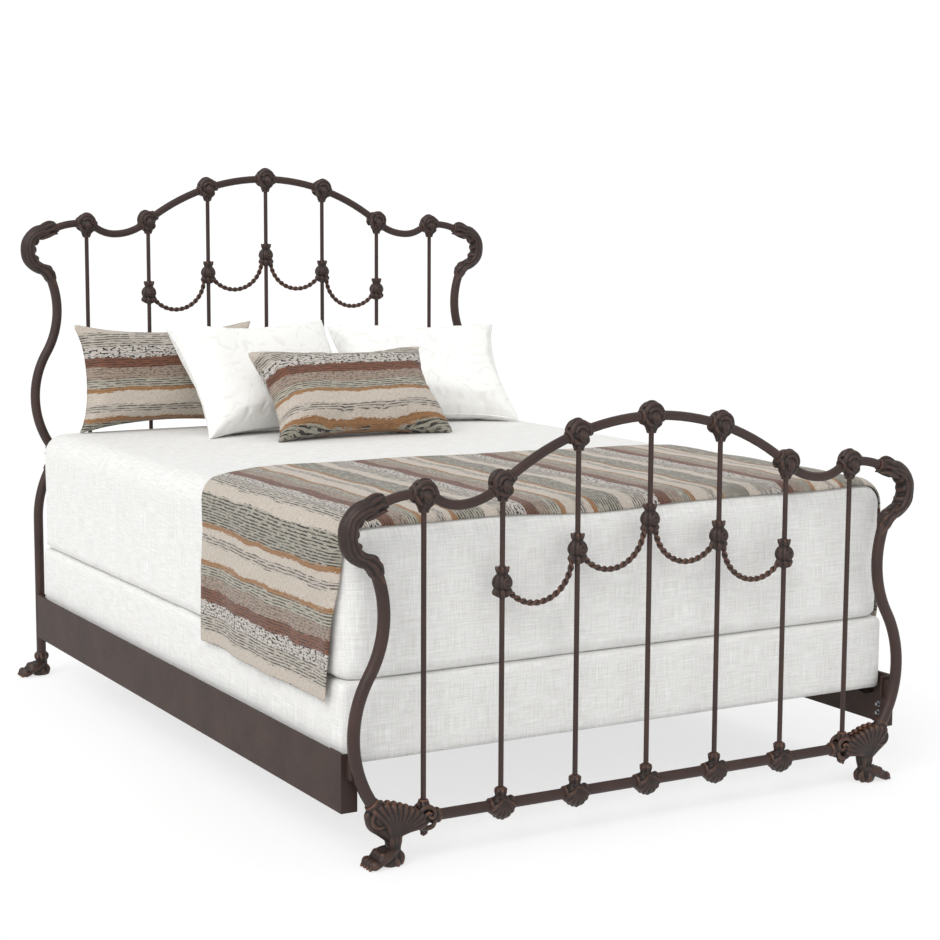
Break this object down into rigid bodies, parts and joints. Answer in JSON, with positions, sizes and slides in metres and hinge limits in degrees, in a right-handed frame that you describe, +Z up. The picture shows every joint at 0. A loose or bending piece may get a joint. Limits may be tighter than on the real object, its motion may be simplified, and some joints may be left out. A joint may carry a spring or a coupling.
{
  "type": "wrought iron bed",
  "caption": "Queen iron bed with scrolled head and foot boards, cast leaf corners and rope swags, made up with mattress, throw and pillows.",
  "frame": {"origin": "on the floor under the middle of the bed's bounding box", "axes": "+X across the bed to the right seen from the foot, +Y from footboard to headboard, +Z up"},
  "size_m": [1.656, 2.1762, 1.535],
  "materials": {
    "linen_cover": "woven linen",
    "woven_throw": "coarse banded weave",
    "woven_pillow": "coarse banded weave",
    "quilted_pillow": "quilted cotton",
    "rubbed_cast_iron": "dark brown with rubbed high spots",
    "brown_rail_paint": "flat brown",
    "black_slat_paint": "satin black",
    "zinc_steel": "zinc plated",
    "black_nylon": "matte",
    "bronze_brown_iron": "satin bronze brown"
  },
  "bodies": {
    "frame": {"box_spring": "linen_cover", "center_leg_1": "black_slat_paint", "center_leg_2": "black_slat_paint", "claw_foot_left": "rubbed_cast_iron", "claw_foot_right": "rubbed_cast_iron", "cross_slat_1": "black_slat_paint", "cross_slat_2": "black_slat_paint", "cross_slat_3": "black_slat_paint", "cross_slat_4": "black_slat_paint", "foot_bottom_knots": "rubbed_cast_iron", "foot_bottom_rail": "bronze_brown_iron", "foot_corner_casting_left": "rubbed_cast_iron", "foot_corner_casting_right": "rubbed_cast_iron", "foot_post_left": "bronze_brown_iron", "foot_post_right": "bronze_brown_iron", "foot_rail_brackets": "brown_rail_paint", "foot_rail_knots": "rubbed_cast_iron", "foot_rope_knots": "rubbed_cast_iron", "foot_rope_swags": "rubbed_cast_iron", "foot_spindles": "bronze_brown_iron", "foot_top_rail": "bronze_brown_iron", "head_bottom_knots": "rubbed_cast_iron", "head_bottom_rail": "bronze_brown_iron", "head_corner_casting_left": "rubbed_cast_iron", "head_corner_casting_right": "rubbed_cast_iron", "head_foot_left": "rubbed_cast_iron", "head_foot_right": "rubbed_cast_iron", "head_leg_left": "bronze_brown_iron", "head_leg_right": "bronze_brown_iron", "head_lower_casting_left": "rubbed_cast_iron", "head_lower_casting_right": "rubbed_cast_iron", "head_post_left": "bronze_brown_iron", "head_post_right": "bronze_brown_iron", "head_rail_brackets": "brown_rail_paint", "head_rail_knots": "rubbed_cast_iron", "head_rope_knots": "rubbed_cast_iron", "head_rope_swags": "rubbed_cast_iron", "head_spindles": "bronze_brown_iron", "head_top_rail": "bronze_brown_iron", "leg_insert_1": "black_nylon", "leg_insert_2": "black_nylon", "mattress": "linen_cover", "rail_nuts": "zinc_steel", "rail_studs": "zinc_steel", "side_rail_left": "brown_rail_paint", "side_rail_right": "brown_rail_paint", "slat_screws": "zinc_steel", "striped_pillow_back": "woven_pillow", "striped_pillow_front": "woven_pillow", "throw": "woven_throw", "white_pillow_left": "quilted_pillow", "white_pillow_right": "quilted_pillow"},
    "pad_1": {"glide_pad_1": "black_nylon"},
    "screw_1": {"glide_screw_1": "zinc_steel"},
    "pad_2": {"glide_pad_2": "black_nylon"},
    "screw_2": {"glide_screw_2": "zinc_steel"}
  },
  "joints": [
    {"name": "pad_1_slide", "type": "slide", "parent": "frame", "child": "pad_1", "axis": [0, 0, 1], "range_m": [-0.012, 0.008]},
    {"name": "screw_1_turn", "type": "hinge", "parent": "pad_1", "child": "screw_1", "pos_m": [0, -0.2113, 0.03], "axis": [0, 0, 1], "range_deg": [-2880, 1920]},
    {"name": "pad_2_slide", "type": "slide", "parent": "frame", "child": "pad_2", "axis": [0, 0, 1], "range_m": [-0.012, 0.008]},
    {"name": "screw_2_turn", "type": "hinge", "parent": "pad_2", "child": "screw_2", "pos_m": [0, 0.2113, 0.03], "axis": [0, 0, 1], "range_deg": [-2880, 1920]}
  ],
  "couplings": [
    {"joint": "screw_1_turn", "follows": "pad_1_slide", "rad_per_m": 4188.8},
    {"joint": "screw_2_turn", "follows": "pad_2_slide", "rad_per_m": 4188.8}
  ]
}
